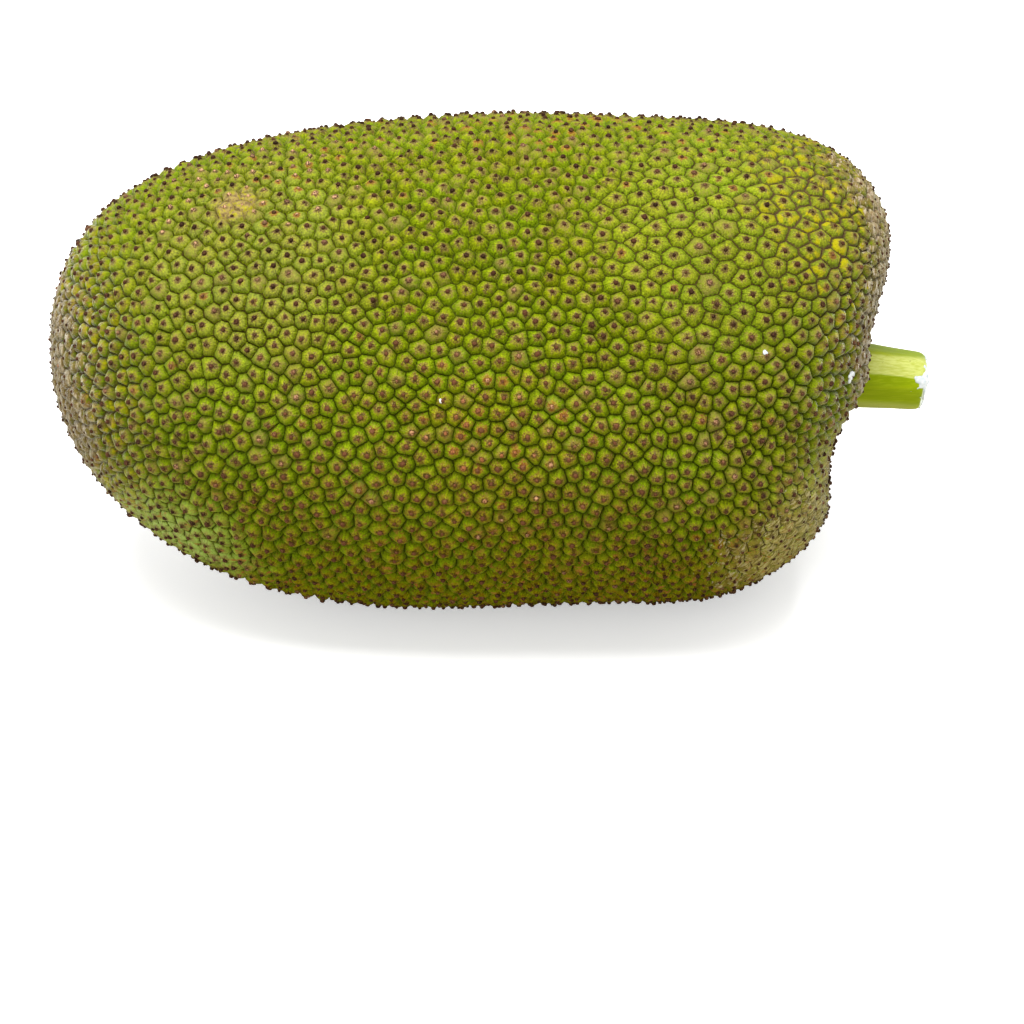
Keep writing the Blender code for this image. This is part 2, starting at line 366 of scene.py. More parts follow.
def make_cells(net):
    """Swap the net for its cells: one many-sided face to every tip."""
    tips = places(net.data)
    count = len(tips)
    corners = face_corners(net.data)[0].reshape(-1, 3)
    round_middle = round_centres(*(tips[corners[:, i]] for i in range(3)))
    edit(net, "FACE")
    bpy.ops.mesh.poke(center_mode="MEDIAN")
    leave_edit()
    mesh = net.data
    ends = np.empty(len(mesh.edges) * 2, dtype=np.int32)
    mesh.edges.foreach_get("vertices", ends)
    tip_edges = (ends.reshape(-1, 2) < count).all(axis=1)
    edit(net, "EDGE")
    bpy.ops.mesh.select_all(action="DESELECT")
    leave_edit()
    mesh.edges.foreach_set("select", tip_edges)
    mesh.polygons.foreach_set("select", np.zeros(len(mesh.polygons), dtype=bool))
    bpy.ops.object.mode_set(mode="EDIT")
    bpy.ops.mesh.edge_rotate(use_ccw=False)
    leave_edit()
    owner = face_corners(mesh)[0].reshape(-1, 3).min(axis=1)
    cell = mesh.attributes.new("cell", "INT", "FACE")
    cell.data.foreach_set("value", owner.astype(np.int32))
    edit(net)
    bpy.ops.mesh.select_all(action="DESELECT")
    leave_edit()
    mesh.vertices.foreach_set("select", np.arange(len(mesh.vertices)) < count)
    bpy.ops.object.mode_set(mode="EDIT")
    bpy.ops.mesh.dissolve_verts()
    leave_edit()
    # The corners move from their plain middles to where a tight packing has them.
    order = kdtree.KDTree(len(corners))
    for number, triangle in enumerate(corners):
        order.insert(tips[triangle].mean(axis=0), number)
    order.balance()
    points = places(mesh)
    same = [order.find(point)[1] for point in points]
    points += CORNER_MOVE * (round_middle[same] - points)
    put(mesh, points + rng.normal(0.0, UNEVENNESS, points.shape))
    return tips


def ring_cells(net):
    """Ring every cell three times over, and note each ring's vertices with their cells."""
    edit(net, "FACE")
    leave_edit()
    rings = []
    for _ in RING_INWARD:
        bpy.ops.object.mode_set(mode="EDIT")
        bpy.ops.mesh.inset(thickness=0.0, use_individual=True, use_even_offset=False)
        leave_edit()
        mesh = net.data
        verts, _, totals = face_corners(mesh)
        chosen = np.empty(len(mesh.polygons), dtype=bool)
        mesh.polygons.foreach_get("select", chosen)
        cells = np.empty(len(mesh.polygons), dtype=np.int32)
        mesh.attributes["cell"].data.foreach_get("value", cells)
        owner_of_corner = np.repeat(cells, totals)
        chosen_corner = np.repeat(chosen, totals)
        rings.append((verts[chosen_corner], owner_of_corner[chosen_corner]))
    return rings


net = closed_net(scattered_tips())
settle(net)
tips = make_cells(net)
rings = ring_cells(net)
CELLS = len(tips)
TILES = math.ceil(math.sqrt(CELLS))  # the bake maps give every cell a tile, in rows of this many
print("cells", CELLS, "faces", len(net.data.polygons))

# ---------------------------------------------------------------- what each cell is like
tip_places = in_place(on_body(tips))
cell_tone = rng.uniform(0.0, 1.0, CELLS)
cell_kind = rng.uniform(0.0, 1.0, CELLS)
cell_lift = rng.normal(0.0, UNEVENNESS, CELLS)
flatness = 0.42 * near(tip_places, UPPER_SHOULDER, 0.040, 0.090)
flatness = np.maximum(flatness, 0.30 * near(tip_places, (-0.110, -0.040, 0.215), 0.040, 0.090))
flatness = np.maximum(flatness, 0.90 * near(tip_places, RUBBED_SPOT, 0.007, 0.017))
stalk_gap = np.hypot(tip_places[:, 1], tip_places[:, 2] - STALK_FOOT.z)
at_stalk = np.where(tip_places[:, 0] > 0.1, 1.0 - smooth_step((stalk_gap - 0.014) / 0.018), 0.0)
worn = near(tip_places, (0.175, 0.005, 0.220), 0.030, 0.075)
worn = np.maximum(worn, near(tip_places, (0.205, -0.010, 0.150), 0.040, 0.080))
worn = np.maximum(worn, near(tip_places, BLOSSOM_END, 0.040, 0.080))
worn = np.maximum(worn, near(tip_places, (0.150, -0.095, 0.060), 0.020, 0.060))
flatness = np.maximum(flatness, 0.45 * worn)
flatness = np.maximum(flatness, 0.40 * near(tip_places, LOW_BLOSSOM, 0.030, 0.070))
cell_relief = (1.0 - flatness) * (1.0 - 0.75 * at_stalk) * rng.uniform(0.88, 1.12, CELLS)
tip_size = rng.uniform(0.65, 1.25, CELLS) * (1.0 - 0.6 * at_stalk) * (1.0 - 0.35 * worn)

# ---------------------------------------------------------------- the rind's surface
mesh = net.data
flat = places(mesh)
inward = np.zeros(len(flat))
height = np.zeros(len(flat))
rise = np.zeros(len(flat))
owner = np.full(len(flat), -1)
for (verts, cells), share, up, tone in zip(rings, RING_INWARD, RING_HEIGHT, RING_RISE):
    inward[verts] = share
    height[verts] = up
    rise[verts] = tone
    owner[verts] = cells
on_cell = owner >= 0
base = flat.copy()
leaned = tips + rng.normal(0.0, TIP_LEAN, tips.shape) + (0.0, 0.0, TIP_LEAN)
base[on_cell] += (leaned[owner[on_cell]] - flat[on_cell]) * inward[on_cell, None]
skin, _, _, normals = directions(on_body(base))

relief = np.ones(len(skin))
relief[on_cell] = cell_relief[owner[on_cell]]
lift = np.zeros(len(skin))
lift[on_cell] = cell_lift[owner[on_cell]] * inward[on_cell]
groove_relief = 1.0 - 0.42 * near(skin, UPPER_SHOULDER, 0.040, 0.090)
groove_relief -= 0.45 * near(skin, LOW_BLOSSOM, 0.030, 0.070)
groove_relief -= 0.45 * near(skin, LOW_SHOULDER, 0.030, 0.070)
relief[~on_cell] = groove_relief[~on_cell]
rest = smooth_step(skin[:, 2] / 0.004)
below_top = TIP_HEIGHT + SKIN_INSET + GROOVE_DEPTH * (1.0 - height) * relief - lift
skin = skin - normals * (below_top * (0.15 + 0.85 * rest))[:, None]
skin[:, 2] = np.maximum(skin[:, 2], RIND_CLEARANCE)
put(mesh, skin)

note(mesh, "rise", rise, "POINT")
cells = np.empty(len(mesh.polygons), dtype=np.int32)
mesh.attributes["cell"].data.foreach_get("value", cells)
note(mesh, "tone", cell_tone[cells])
note(mesh, "kind", cell_kind[cells])

tip_here, run_a, run_b, tip_normal = directions(on_body(leaned))

verts, _, totals = face_corners(mesh)
corner_cell = np.repeat(cells, totals)
offset = skin[verts] - tip_here[corner_cell]
local = np.stack(
    (
        np.sum(offset * run_a[corner_cell], axis=1),
        np.sum(offset * run_b[corner_cell], axis=1),
    ),
    axis=1,
)
reach = np.zeros(CELLS)
np.maximum.at(reach, corner_cell, np.abs(local).max(axis=1))
cell_map = mesh.uv_layers.new(name="cell_map")
groove_corner = ~on_cell[verts]
cell_size = np.bincount(
    corner_cell[groove_corner], np.linalg.norm(local[groove_corner], axis=1), CELLS
) / np.bincount(corner_cell[groove_corner], minlength=CELLS)
cell_map.data.foreach_set("uv", (local / cell_size[corner_cell, None]).astype(np.float32).ravel())
tile = 1.0 / TILES
across = (corner_cell % TILES + 0.5) * tile
down = (corner_cell // TILES + 0.5) * tile
atlas = local / reach[corner_cell, None] * tile * ATLAS_FILL + np.stack((across, down), 1)
bake_map = mesh.uv_layers.new(name="OFBake")
bake_map.data.foreach_set("uv", atlas.astype(np.float32).ravel())

only(net)
bpy.ops.object.shade_smooth()
rind = net


def closed_copy(obj):
    """The object's mesh with a face over the foot that drawing it out left open."""
    bm = bmesh.new()
    bm.from_mesh(obj.data)
    bmesh.ops.contextual_create(bm, geom=[edge for edge in bm.edges if edge.is_boundary])
    bmesh.ops.recalc_face_normals(bm, faces=bm.faces)
    return bm


# ---------------------------------------------------------------- the dark tips
def knob_model():
    """One blunt thorn, a unit across and a unit high."""
    bpy.ops.object.select_all(action="DESELECT")
    bpy.ops.mesh.primitive_circle_add(vertices=6, radius=1.0, fill_type="NGON")
    knob = bpy.context.object
    knob.data.transform(Matrix.Translation((0.0, 0.0, -0.5)))
    edit(knob, "FACE")
    for rise_by, size in ((1.05, 0.86), (0.45, 0.60)):
        bpy.ops.mesh.extrude_region_move(TRANSFORM_OT_translate={"value": (0, 0, rise_by)})
        bpy.ops.transform.resize(value=(size, size, 1.0))
    leave_edit()
    bm = closed_copy(knob)
    bm.to_mesh(knob.data)
    bm.free()
    return knob


def grow_tips(knob):
    """A copy of the thorn on every cell, each with its own size, turn and lean."""
    shape = places(knob.data)
    corners, _, totals = face_corners(knob.data)
    wide = rng.uniform(0.85, 1.25, CELLS)
    spin = rng.uniform(0.0, 2.0 * math.pi, CELLS)
    lean = rng.normal(0.0, 0.16, (CELLS, 2))
    all_places = []
    for number in range(CELLS):
        size = tip_size[number] * TIP_RADIUS
        frame_of_cell = Matrix((run_a[number], run_b[number], tip_normal[number])).transposed()
        turned = frame_of_cell @ Euler((lean[number, 0], lean[number, 1], spin[number])).to_matrix()
        tall = TIP_HEIGHT * min(tip_size[number], 1.0)
        turned = turned @ Matrix.Diagonal((size * wide[number], size, tall))
        top = tip_here[number] - tip_normal[number] * (TIP_HEIGHT + SKIN_INSET - cell_lift[number])
        all_places.append(shape @ np.array(turned).T + top)
    all_places = np.concatenate(all_places)
    all_places[:, 2] = np.maximum(all_places[:, 2], TIP_CLEARANCE)
    groups = np.split(corners, np.cumsum(totals)[:-1])
    faces = [g + number * len(shape) for number in range(CELLS) for g in groups]
    mesh = bpy.data.meshes.new("cone_tips")
    mesh.from_pydata(all_places, [], faces)
    note(mesh, "tone", np.repeat(cell_tone, len(groups)))
    note(mesh, "kind", np.repeat(cell_kind, len(groups)))
    turned_out = mesh.uv_layers.new(name="OFBake")
    flat_shape = shape[corners][:, :2] * 0.42
    number = np.arange(CELLS)
    middle = np.stack((number % TILES, number // TILES), axis=1) + 0.5
    turned_out.data.foreach_set(
        "uv", ((middle[:, None] + flat_shape[None]) / TILES).astype(np.float32).ravel()
    )
    tips_piece = bpy.data.objects.new("cone_tips", mesh)
    bpy.context.collection.objects.link(tips_piece)
    only(tips_piece)
    bpy.ops.object.shade_smooth()
    return tips_piece


knob = knob_model()
cone_tips = grow_tips(knob)
bpy.data.objects.remove(knob, do_unlink=True)


# ---------------------------------------------------------------- the cut stalk
STALK_STATIONS = (
    # distance from the rim along the stalk, radius
    (-0.0215, 0.0160),
    (-0.0150, 0.0175),
    (-0.0090, 0.0171),
    (-0.0030, 0.0162),
    (0.0060, 0.0156),
    (0.0140, 0.0150),
    (0.0220, 0.0145),
    (0.0292, 0.0141),
    (0.0313, 0.0138),
    (0.0330, 0.0129),
    (0.0341, 0.0110),
    (0.0350, 0.0078),
    (0.0355, 0.0034),
)
STALK_RIBS = 7


def stalk_place():
    turn = Matrix.Rotation(math.radians(90.0) + STALK_DROOP, 4, "Y")
    return Matrix.Translation(STALK_FOOT) @ turn


def model_stem():
    """Drawn out ring by ring from the foot to the domed cut."""
    first, radius = STALK_STATIONS[0]
    bpy.ops.object.select_all(action="DESELECT")
    bpy.ops.mesh.primitive_circle_add(vertices=56, radius=radius, fill_type="NGON")
    stem = bpy.context.object
    stem.name = "cut_stalk"
    stem.data.transform(Matrix.Translation((0, 0, first)))
    edit(stem, "FACE")
    last, last_radius = first, radius
    for along, radius in STALK_STATIONS[1:]:
        bpy.ops.mesh.extrude_region_move(
            TRANSFORM_OT_translate={"value": (0, 0, along - last)}
        )
        size = radius / last_radius
        bpy.ops.transform.resize(value=(size, size, 1.0))
        last, last_radius = along, radius
    leave_edit()
    bm = closed_copy(stem)
    for vert in bm.verts:
        angle = math.atan2(vert.co.y, vert.co.x)
        away = math.hypot(vert.co.x, vert.co.y)
        rib = 0.024 * math.cos(STALK_RIBS * angle + 0.6) + 0.014 * math.cos(3 * angle + 1.9)
        rib += 0.006 * math.sin(vert.co.z * 320.0 + 2.0 * angle)
        vert.co.x *= 1.0 + rib
        vert.co.y *= 1.0 + rib
        if vert.co.z > 0.0338:
            vert.co.z += 0.0005 * math.sin(2.0 * angle + 0.8) * away / 0.012
    bm.to_mesh(stem.data)
    bm.free()
    only(stem)
    smooth = stem.modifiers.new("round over", "SUBSURF")
    smooth.levels = 1
    smooth.render_levels = 1
    bpy.ops.object.modifier_apply(modifier=smooth.name)
    stem.data.transform(stalk_place())
    bpy.ops.object.shade_smooth()
    return stem


cut_stalk = model_stem()


# ---------------------------------------------------------------- sap
def bead(centre, size, direction, flatten):
    """One drop of sap, sunk a little in what it sits on."""
    bpy.ops.object.select_all(action="DESELECT")
    bpy.ops.mesh.primitive_ico_sphere_add(subdivisions=3, radius=1.0)
    drop = bpy.context.object
    drop.name = "sap"
    turn = Vector(direction).to_track_quat("Z", "Y").to_matrix().to_4x4()
    scale = Matrix.Diagonal((size[0], size[1], size[2] * flatten, 1.0))
    drop.data.transform(Matrix.Translation(Vector(centre)) @ turn @ scale)
    return drop


def run_together(drops, name, fine):
    """Melt drops into one closed skin."""
    only(drops[0])
    for drop in drops:
        drop.select_set(True)
    bpy.ops.object.join()
    sap = bpy.context.object
    sap.name = name
    melt = sap.modifiers.new("run together", "REMESH")
    melt.mode = "VOXEL"
    melt.voxel_size = fine
    bpy.ops.object.modifier_apply(modifier=melt.name)
    bpy.ops.object.shade_smooth()
    return sap


def model_sap():
    place = stalk_place()
    axis = place.to_3x3() @ Vector((0, 0, 1))
    far, wide_at = np.array(STALK_STATIONS).T
    drops = []
    drip = np.random.default_rng(21)
    for step in range(64):
        angle = 2.0 * math.pi * step / 64.0 + drip.uniform(-0.04, 0.04)
        along = drip.uniform(0.0328, 0.0341)
        away = np.interp(along, far, wide_at) - 0.0004
        local = Vector((math.cos(angle) * away, math.sin(angle) * away, along))
        wide = drip.uniform(0.0006, 0.0012)
        drops.append(bead(place @ local, (wide, wide * 1.4, wide), axis, 0.6))
    # The run of sap that gathers on the near face of the stalk.
    for along, angle, wide in (
        (0.0326, 240, 0.0020),
        (0.0312, 236, 0.0021),
        (0.0306, 242, 0.0020),
        (0.0296, 237, 0.0019),
        (0.0284, 240, 0.0015),
        (0.0274, 235, 0.0011),
        (0.0318, 250, 0.0015),
        (0.0302, 251, 0.0012),
        (0.0288, 255, 0.0007),
        (0.0268, 258, 0.0007),
        (0.0260, 262, 0.0005),
        (0.0318, 226, 0.0013),
        (0.0312, 208, 0.0012),
        (0.0298, 200, 0.0011),
        (0.0288, 195, 0.0008),
        (0.0276, 204, 0.0007),
        (0.0312, 276, 0.0006),
    ):
        angle = math.radians(angle)
        along += 0.0005
        away = np.interp(along, far, wide_at) - 0.0001
        local = Vector((math.cos(angle) * away, math.sin(angle) * away, along))
        out = place.to_3x3() @ Vector((local.x, local.y, 0.0))
        drops.append(bead(place @ local, (wide, wide, wide), out, 0.36))
    sap = run_together(drops, "stalk_sap", 0.00035)
    soften = sap.modifiers.new("soften", "SMOOTH")
    soften.factor = 0.6
    soften.iterations = 9
    bpy.ops.object.modifier_apply(modifier=soften.name)
    bpy.ops.object.shade_smooth()
    return sap


def model_rind_sap():
    """A few dried drops on the rind, each of several beads run together."""
    drops = []
    drip = np.random.default_rng(5)
    for centre, spread, beads in (
        ((0.1695, -0.0700, 0.1492), 0.0024, 12),
        ((0.1688, -0.0710, 0.1462), 0.0013, 5),
        ((0.128, -0.094, 0.178), 0.0007, 3),
        ((-0.020, -0.112, 0.160), 0.0005, 2),
    ):
        gap = np.linalg.norm(tip_here - np.array(centre), axis=1)
        nearest = int(np.argmin(gap))
        out = tip_normal[nearest]
        for _ in range(beads):
            slide = drip.normal(0.0, spread / 1.6, 2)
            at = tip_here[nearest] - out * (TIP_HEIGHT + SKIN_INSET + 0.0004)
            at = at + run_a[nearest] * (0.0012 + slide[0]) + run_b[nearest] * slide[1]
            wide = drip.uniform(0.0006, 0.0011)
            drops.append(bead(at, (wide, wide * drip.uniform(0.8, 1.6), wide), out, 0.8))
    return run_together(drops, "rind_sap", 0.0003)


stalk_sap = model_sap()
rind_sap = model_rind_sap()


# ---------------------------------------------------------------- materials
class Recipe:
    """A material and short ways to add nodes to it."""

    def __init__(self, name):
        self.material = bpy.data.materials.new(name)
        self.material.use_nodes = True
        self.tree = self.material.node_tree
        self.shader = self.tree.nodes["Principled BSDF"]
        self.where = self.node("ShaderNodeTexCoord").outputs["Object"]
        self.wobble = None

    def feed(self, socket, value):
        if isinstance(value, bpy.types.NodeSocket):
            self.tree.links.new(value, socket)
        elif isinstance(value, tuple) and len(value) == 3 and socket.type == "RGBA":
            socket.default_value = (*value, 1.0)
        else:
            socket.default_value = value

    def node(self, kind, inputs=None, **settings):
        made = self.tree.nodes.new(kind)
        for key, value in settings.items():
            setattr(made, key, value)
        for key, value in (inputs or {}).items():
            self.feed(made.inputs[key], value)
        return made

    def math(self, operation, a, b=0.0, c=0.0):
        return self.node("ShaderNodeMath", {0: a, 1: b, 2: c}, operation=operation).outputs[0]

    def centred(self, noise):
        return self.math("SUBTRACT", noise, 0.5)

    def times(self, a, b):
        return self.math("MULTIPLY", a, b)

    def most(self, a, b):
        return self.math("MAXIMUM", a, b)

    def add_times(self, a, b, c):
        """a times b, plus c."""
        return self.math("MULTIPLY_ADD", a, b, c)

    def vector(self, operation, a, b=(0.0, 0.0, 0.0)):
        return self.node("ShaderNodeVectorMath", {0: a, 1: b}, operation=operation).outputs[0]

    def blend(self, share, a, b, how="MIX"):
        made = self.node("ShaderNodeMix", {0: share, 6: a, 7: b}, data_type="RGBA", blend_type=how)
        return made.outputs[2]

    def fade(self, value, low, high, to_low=0.0, to_high=1.0):
        names = ("Value", "From Min", "From Max", "To Min", "To Max")
        given = dict(zip(names, (value, low, high, to_low, to_high)))
        made = self.node("ShaderNodeMapRange", given, interpolation_type="SMOOTHSTEP")
        return made.outputs[0]

    def noise(self, where, scale, detail=3.0, rough=0.55):
        given = {"Vector": where, "Scale": scale, "Detail": detail, "Roughness": rough}
        return self.node("ShaderNodeTexNoise", given).outputs[0]

    def ramp(self, value, stops):
        made = self.node("ShaderNodeValToRGB", {0: value})
        band = made.color_ramp
        while len(band.elements) < len(stops):
            band.elements.new(0.5)
        for element, (at, colour) in zip(band.elements, stops):
            element.position = at
            element.color = (*colour, 1.0)
        return made.outputs[0]

    def attribute(self, name):
        return self.node("ShaderNodeAttribute", attribute_name=name).outputs["Fac"]

    def patch(self, centre, inner, outer, stretch=(1.0, 1.0, 1.0), ragged=0.03):
        """A soft-edged patch of surface round a point, ragged where the material has a wobble."""
        away = self.vector("SUBTRACT", self.where, centre)
        away = self.vector("MULTIPLY", away, stretch)
        length = self.node("ShaderNodeVectorMath", {0: away}, operation="LENGTH").outputs["Value"]
        if self.wobble is not None:
            length = self.add_times(self.centred(self.wobble), ragged, length)
        return self.fade(length, inner, outer, 1.0, 0.0)

    def finish(self, colour, rough, height, strength, distance):
        """Feed the shader its colour, roughness and fine relief."""
        self.feed(self.shader.inputs["Base Color"], colour)
        self.feed(self.shader.inputs["Roughness"], rough)
        relief = {"Height": height, "Strength": strength, "Distance": distance}
        bump = self.node("ShaderNodeBump", relief)
        self.feed(self.shader.inputs["Normal"], bump.outputs[0])
        return self.material


PAINT = 0.485  # screen colours seen in strong light, taken down to the surface's own


def rgb(red, green, blue, paint=PAINT):
    """A colour as picked on a screen, made linear."""

    def linear(part):
        part = part / 255.0
        return part / 12.92 if part <= 0.04045 else ((part + 0.055) / 1.055) ** 2.4

    return linear(red) * paint, linear(green) * paint, linear(blue) * paint


def rind_material():
    r = Recipe("jackfruit_rind")
    where = r.where
    broad = r.noise(where, 14.0, 1.0)
    wobble = r.wobble = r.noise(where, 60.0, 2.0)
    patchy = r.noise(where, 170.0, 2.0, 0.6)
    fine = r.noise(where, 900.0, 3.0)
    speck = r.centred(r.noise(where, 1900.0, 2.0))
    blotch = r.centred(r.noise(where, 520.0, 2.0, 0.6))
    rise_in = r.attribute("rise")
    tone = r.attribute("tone")
    kind = r.attribute("kind")
    cell_place = r.node("ShaderNodeUVMap", uv_map="cell_map").outputs[0]
    away = r.node("ShaderNodeVectorMath", {0: cell_place}, operation="LENGTH").outputs["Value"]
    heading = r.vector("NORMALIZE", cell_place)
    cell_number = r.node("ShaderNodeCombineXYZ", {"Z": r.times(kind, 61.0)}).outputs[0]
    streak_place = r.vector("ADD", r.vector("MULTIPLY", heading, (2.6, 2.6, 0.0)), cell_number)
    streak = r.noise(streak_place, 1.3, 3.0, 0.7)

    # From groove to tip
    grain = r.centred(fine)
    ray = r.centred(streak)
    climb = r.add_times(grain, 0.45, rise_in)
    climb = r.add_times(ray, 0.40, climb)
    # The groove end of this ramp is dark: partly the rind's own darker green between the cones,
    # partly painted crease shade.
    green = r.ramp(
        climb,
        (
            (0.00, rgb(58, 72, 0)),
            (0.11, rgb(80, 100, 0)),
            (0.25, rgb(118, 140, 0)),
            (0.60, rgb(144, 166, 4)),
            (1.00, rgb(172, 182, 20)),
        ),
    )
    upper_shoulder = r.patch((0.110, -0.045, 0.220), 0.035, 0.080)
    upper_blossom = r.patch((-0.110, -0.050, 0.205), 0.030, 0.085)
    open_side = r.most(upper_shoulder, upper_blossom)
    # Each cell its own shade, then slow drifts over the whole fruit
    shade = r.add_times(tone, 0.30, 0.85)
    shade = r.add_times(ray, 1.15, shade)
    shade = r.add_times(grain, r.fade(open_side, 0.0, 1.0, 1.5, 2.0), shade)
    shade = r.add_times(speck, r.fade(open_side, 0.0, 1.0, 1.6, 2.6), shade)
    turn = r.add_times(kind, 0.024, 0.488)
    tinted = r.node(
        "ShaderNodeHueSaturation", {"Hue": turn, "Value": shade, "Color": green}
    ).outputs[0]

    # Regions
    blossom_end = r.patch((-0.225, -0.020, 0.116), 0.036, 0.078, ragged=0.05)
    stalk_end = r.patch((0.207, -0.008, 0.150), 0.040, 0.084, ragged=0.05)
    low_shoulder = r.patch((0.150, -0.095, 0.060), 0.020, 0.062, ragged=0.05)
    crest = r.patch((0.200, 0.004, 0.204), 0.018, 0.056, ragged=0.06)
    russet = r.most(blossom_end, r.most(stalk_end, low_shoulder))
    russet = r.most(russet, crest)
    parts = r.node("ShaderNodeSeparateXYZ", {0: where})
    height_up = parts.outputs["Z"]
    flank = r.most(
        r.fade(parts.outputs["X"], -0.130, -0.195),
        r.fade(parts.outputs["X"], 0.120, 0.168),
    )
    flank = r.times(flank, r.fade(height_up, 0.225, 0.165))
    height_up = r.add_times(r.centred(wobble), 0.03, height_up)
    low_side = r.fade(height_up, 0.150, 0.040)

    yellow = r.times(r.fade(broad, 0.42, 0.62), 0.45)
    yellow = r.most(yellow, r.times(upper_blossom, 0.75))
    tinted = r.blend(yellow, tinted, rgb(255, 238, 255, 1.0), "MULTIPLY")
    groove = r.fade(climb, 0.05, 0.16, 1.0, 0.0)
    beside = r.patch((0.180, -0.020, 0.200), 0.040, 0.085, ragged=0.06)
    beside = r.most(beside, r.patch((-0.215, -0.03, 0.120), 0.04, 0.10))
    purple = r.most(beside, open_side)
    purple = r.times(groove, r.add_times(purple, 0.88, 0.08))
    tinted = r.blend(purple, tinted, rgb(66, 44, 26))
    wide_groove = r.times(r.fade(climb, 0.14, 0.40, 1.0, 0.0), beside)
    tinted = r.blend(r.times(wide_groove, 0.84), tinted, rgb(106, 76, 58))
    tinted = r.blend(beside, tinted, rgb(232, 228, 240, 1.0), "MULTIPLY")
    # Painted light: on the upper side the raised parts of the cells are painted paler and yellower,
    # a painted highlight from the light above.
    bright = r.blend(upper_blossom, rgb(186, 184, 74), rgb(190, 184, 116))
    brightened = r.blend(r.times(open_side, 0.22), tinted, bright)
    tinted = r.blend(r.fade(climb, 0.2, 0.5), tinted, brightened)

    # Painted light on the lower left rim: the raised parts of the cells are painted pale, standing
    # in for light thrown up on to them, and their grooves are painted dark as painted crease shade.
    lower_left_painted_light = r.patch((-0.158, -0.088, 0.052), 0.024, 0.066)
    lower_left_painted_light = r.most(lower_left_painted_light, r.patch((-0.200, -0.052, 0.070), 0.014, 0.046))
    lit = r.times(lower_left_painted_light, r.fade(climb, 0.18, 0.42, 0.0, 0.78))
    lit = r.times(lit, r.add_times(tone, 0.5, 0.65))
    lined = r.times(lower_left_painted_light, r.fade(climb, 0.26, 0.12, 0.0, 0.9))
    tinted = r.blend(lined, tinted, rgb(46, 56, 14))
    tinted = r.blend(lit, tinted, rgb(184, 208, 124, 0.66))
    # Painted light on the lower right rim: the raised parts of the cells are painted paler, and the
    # grooves darker as painted crease shade.
    low_right = r.patch(LOW_SHOULDER, 0.024, 0.066)
    lit = r.times(low_right, r.fade(climb, 0.12, 0.36, 0.0, 0.64))
    tinted = r.blend(lit, tinted, rgb(200, 206, 84, 0.78))
    lined = r.times(low_right, r.fade(climb, 0.24, 0.10, 0.0, 0.8))
    tinted = r.blend(lined, tinted, rgb(60, 52, 10))
    # Painted light on the rim of the lobe below the stalk: the raised parts of the cells are
    # painted paler.
    lobe_rim = r.patch((0.178, -0.060, 0.092), 0.014, 0.044)
    lit = r.times(lobe_rim, r.fade(climb, 0.12, 0.36, 0.0, 0.70))
    tinted = r.blend(lit, tinted, rgb(214, 208, 136, 0.66))
    deep = r.patch((-0.105, -0.110, 0.088), 0.034, 0.105)
    tinted = r.blend(r.times(deep, 0.80), tinted, rgb(240, 255, 216, 1.0), "MULTIPLY")

    quiet = r.patch((0.122, -0.088, 0.182), 0.034, 0.070)
    quiet = r.most(quiet, r.patch((0.055, -0.115, 0.112), 0.012, 0.050))
    tinted = r.blend(quiet, tinted, rgb(237, 237, 232, 1.0), "MULTIPLY")
    quiet = r.patch((-0.190, -0.060, 0.145), 0.020, 0.070)
    tinted = r.blend(quiet, tinted, rgb(226, 232, 200, 1.0), "MULTIPLY")

    gold = r.times(r.fade(patchy, 0.49, 0.60), beside)
    gold = r.times(gold, r.fade(climb, 0.15, 0.40, 0.0, 0.75))
    tinted = r.blend(gold, tinted, rgb(212, 196, 4))

    # Halo round the tip
    edge = r.add_times(ray, 0.34, away)
    edge = r.add_times(grain, 0.60, edge)
    edge = r.add_times(blotch, r.fade(open_side, 0.0, 1.0, 0.90, 0.40), edge)
    halo_wide = r.fade(r.add_times(russet, -0.40, edge), 0.66, 0.30)
    halo_small = r.fade(edge, 0.44, 0.26)
    halo = r.node(
        "ShaderNodeMix", {0: open_side, 2: halo_wide, 3: halo_small}, data_type="FLOAT"
    ).outputs[0]
    halo_colour = r.blend(tone, rgb(122, 94, 48), rgb(176, 142, 88))
    warm = r.patch((-0.015, -0.110, 0.120), 0.030, 0.090, (0.7, 1, 1))
    halo_colour = r.blend(r.times(warm, 0.60), halo_colour, rgb(164, 98, 30))
    orange_zone = r.patch((-0.004, -0.116, 0.140), 0.012, 0.040, ragged=0.05)
    crest_orange = r.patch((0.045, 0.010, 0.240), 0.010, 0.050, (0.5, 1, 1))
    blossom_orange = r.patch((-0.100, -0.010, 0.230), 0.010, 0.042, (0.6, 1, 1))
    orange_zone = r.most(orange_zone, r.most(crest_orange, blossom_orange))
    odd_cell = r.fade(r.add_times(orange_zone, 0.30, kind), 0.90, 1.05)
    halo_colour = r.blend(odd_cell, halo_colour, rgb(196, 120, 58))
    coloured = r.blend(r.times(halo, 0.62), tinted, halo_colour)
    # Some cells are dull all over
    dull = r.add_times(grain, 0.8, r.add_times(ray, 0.8, tone))
    dull = r.times(r.fade(dull, 0.88, 1.06), r.fade(climb, 0.12, 0.35, 0.0, 0.60))
    coloured = r.blend(dull, coloured, rgb(136, 116, 70))
    core = r.fade(edge, 0.38, 0.20)
    core_colour = r.blend(odd_cell, rgb(72, 46, 34), rgb(140, 72, 34))
    coloured = r.blend(r.times(core, 0.80), coloured, core_colour)
    # Pinkish flecks where the thorns have been rubbed
    fleck = r.times(r.fade(speck, 0.08, 0.16), halo_wide)
    coloured = r.blend(r.times(fleck, 0.55), coloured, rgb(206, 166, 128))
    # Painted shade: towards the bottom the rind is painted darker and with its blue taken out,
    # except on the rims that carry painted light.
    painted_light_rims = r.most(lower_left_painted_light, low_right)
    underside_painted_shade = r.times(low_side, r.math("SUBTRACT", 1.0, painted_light_rims))
    coloured = r.blend(underside_painted_shade, coloured, rgb(244, 238, 24, 1.0), "MULTIPLY")
